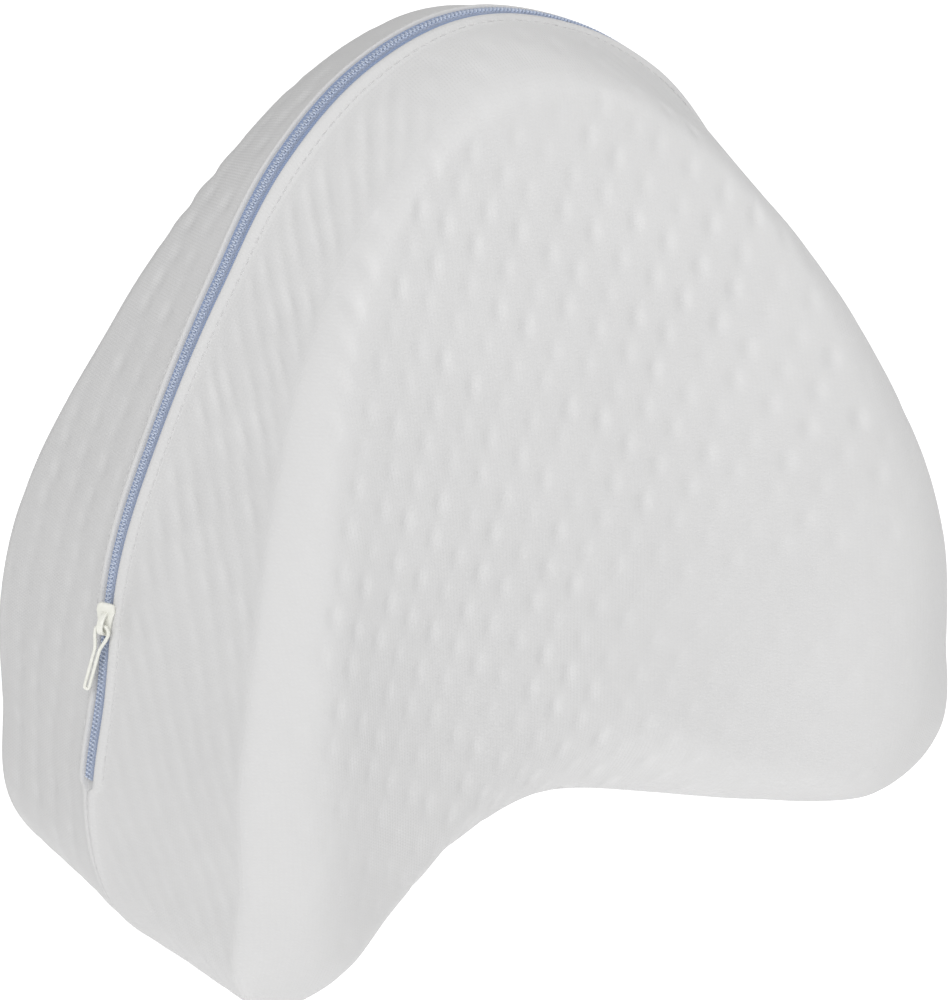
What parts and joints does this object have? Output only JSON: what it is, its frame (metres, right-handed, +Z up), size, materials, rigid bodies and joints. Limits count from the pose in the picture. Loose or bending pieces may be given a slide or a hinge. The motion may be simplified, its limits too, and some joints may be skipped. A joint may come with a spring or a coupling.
{
  "type": "knee pillow",
  "caption": "Saddle-shaped foam knee pillow that stands on two lobes, with a curved leg channel down each face, a textured knit cover and a zip along its edge.",
  "frame": {"origin": "on the floor, midway between the two lobes and midway between the two faces", "axes": "+X across the pillow from lobe to lobe, +Y through its thickness from the front face to the back face, +Z up from the lobes to the narrow top"},
  "size_m": [0.2492, 0.1458, 0.2418],
  "materials": {
    "cover": "matte white stretch knit with small raised bubbles, over foam",
    "zip_tape": "woven tape, pale lavender blue",
    "zip_teeth": "nylon coil, lavender blue",
    "zip_metal": "white paint, half gloss"
  },
  "bodies": {
    "root": {"pillow": "cover", "zip_tape_front": "zip_tape", "zip_tape_back": "zip_tape", "zip_teeth_closed": "zip_teeth", "zip_teeth_front": "zip_teeth", "zip_teeth_back": "zip_teeth", "zip_slider": "zip_metal", "zip_pull": "zip_metal"}
  },
  "joints": []
}
